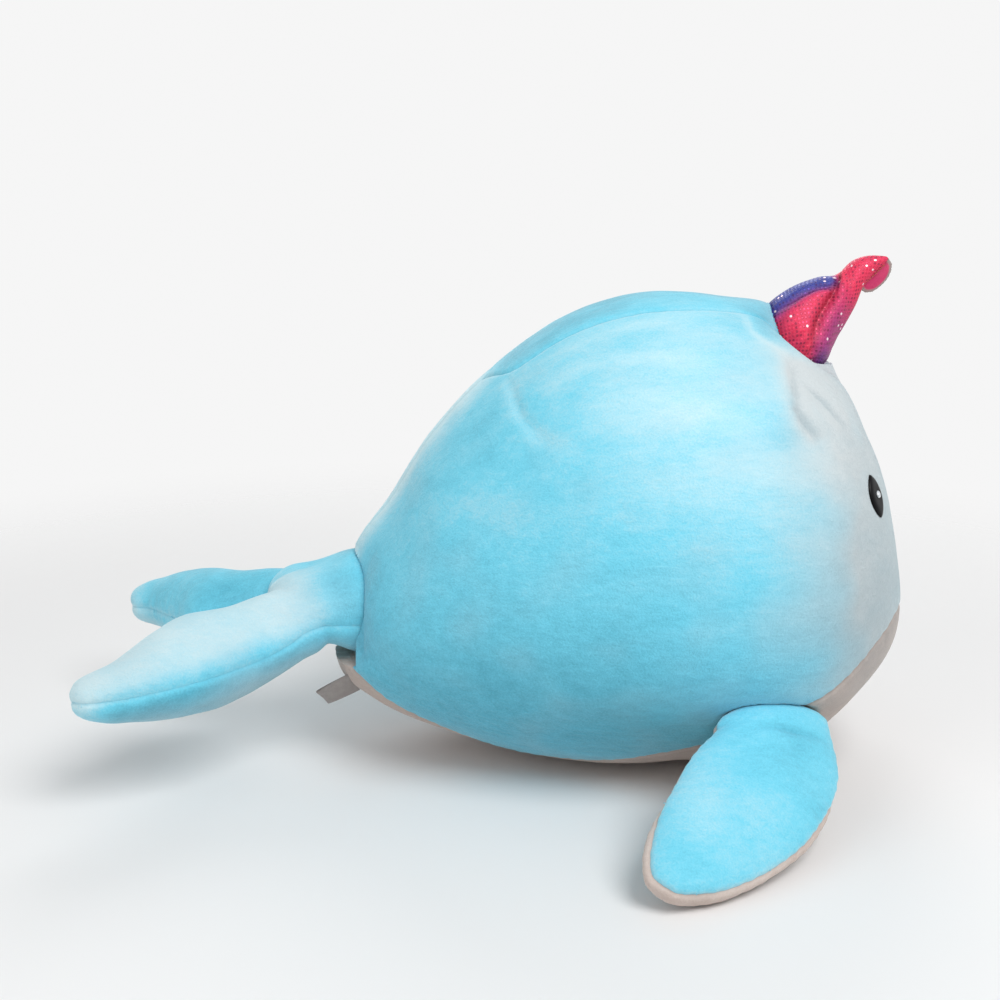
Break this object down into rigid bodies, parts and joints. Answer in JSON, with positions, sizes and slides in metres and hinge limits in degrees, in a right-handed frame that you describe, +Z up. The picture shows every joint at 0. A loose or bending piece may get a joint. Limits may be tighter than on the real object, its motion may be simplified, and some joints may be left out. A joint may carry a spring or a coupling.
{
  "type": "plush narwhal toy",
  "caption": "Stuffed blue plush narwhal lying on a cream belly, with flippers, tail flukes, black satin-stitched eyes and a pink foil-dotted horn",
  "frame": {"origin": "on the floor, below the middle of the toy's length and width", "axes": "+X points to the nose, +Y to the toy's left, +Z up from the floor it lies on"},
  "size_m": [0.3978, 0.3568, 0.2502],
  "materials": {
    "plush_blue": "short brushed pile",
    "plush_cream": "short brushed pile",
    "filling": "loose polyester fibre in its lining",
    "eye_black": "close satin stitch",
    "eye_white": "close satin stitch",
    "horn_foil": "foil-dotted cloth",
    "label_cloth": "woven tape"
  },
  "bodies": {
    "root": {"right_side_panel": "plush_blue", "left_side_panel": "plush_blue", "crown_gusset": "plush_blue", "belly_panel": "plush_cream", "body_filling": "filling", "right_eye": "eye_black", "right_eye_highlight": "eye_white", "left_eye": "eye_black", "left_eye_highlight": "eye_white"},
    "horn": {"horn_sleeve": "horn_foil", "horn_filling": "filling", "horn_tip_tab": "horn_foil"},
    "tail": {"tail_upper_panel": "plush_blue", "tail_lower_panel": "plush_blue", "tail_filling": "filling"},
    "label": {"care_label": "label_cloth"},
    "right_flipper": {"right_flipper_top": "plush_blue", "right_flipper_underside": "plush_cream", "right_flipper_filling": "filling"},
    "right_fluke": {"right_fluke_upper_panel": "plush_blue", "right_fluke_lower_panel": "plush_blue", "right_fluke_filling": "filling"},
    "left_flipper": {"left_flipper_top": "plush_blue", "left_flipper_underside": "plush_cream", "left_flipper_filling": "filling"},
    "left_fluke": {"left_fluke_upper_panel": "plush_blue", "left_fluke_lower_panel": "plush_blue", "left_fluke_filling": "filling"}
  },
  "joints": [
    {"name": "tail_bend", "type": "hinge", "parent": "root", "child": "tail", "pos_m": [-0.0717, 0, 0.08006], "axis": [0, 1, 0], "range_deg": [-18, 18], "stiffness_Nm_per_rad": 0.6},
    {"name": "right_fluke_bend", "type": "hinge", "parent": "tail", "child": "right_fluke", "pos_m": [-0.0987, -0.01856, 0.07306], "axis": [-0.4133, 0.91, -0.0345], "range_deg": [-15, 15], "stiffness_Nm_per_rad": 0.3},
    {"name": "left_fluke_bend", "type": "hinge", "parent": "tail", "child": "left_fluke", "pos_m": [-0.0987, 0.01856, 0.07306], "axis": [0.4133, 0.91, 0.0345], "range_deg": [-15, 15], "stiffness_Nm_per_rad": 0.3},
    {"name": "right_flipper_bend", "type": "hinge", "parent": "root", "child": "right_flipper", "pos_m": [0.1193, -0.09042, 0.04184], "axis": [-0.9544, -0.2811, 0.1001], "range_deg": [-15, 35], "stiffness_Nm_per_rad": 0.3},
    {"name": "left_flipper_bend", "type": "hinge", "parent": "root", "child": "left_flipper", "pos_m": [0.1193, 0.09042, 0.04184], "axis": [0.9544, -0.2811, -0.1001], "range_deg": [-15, 35], "stiffness_Nm_per_rad": 0.3},
    {"name": "horn_bend", "type": "hinge", "parent": "root", "child": "horn", "pos_m": [0.14894, 0, 0.21307], "axis": [0, 1, 0], "range_deg": [-14, 14], "stiffness_Nm_per_rad": 0.3},
    {"name": "label_bend", "type": "hinge", "parent": "root", "child": "label", "pos_m": [-0.07436, -0.01849, 0.04236], "axis": [0.3717, 0.556, -0.7434], "range_deg": [-25, 10], "stiffness_Nm_per_rad": 0.02}
  ]
}
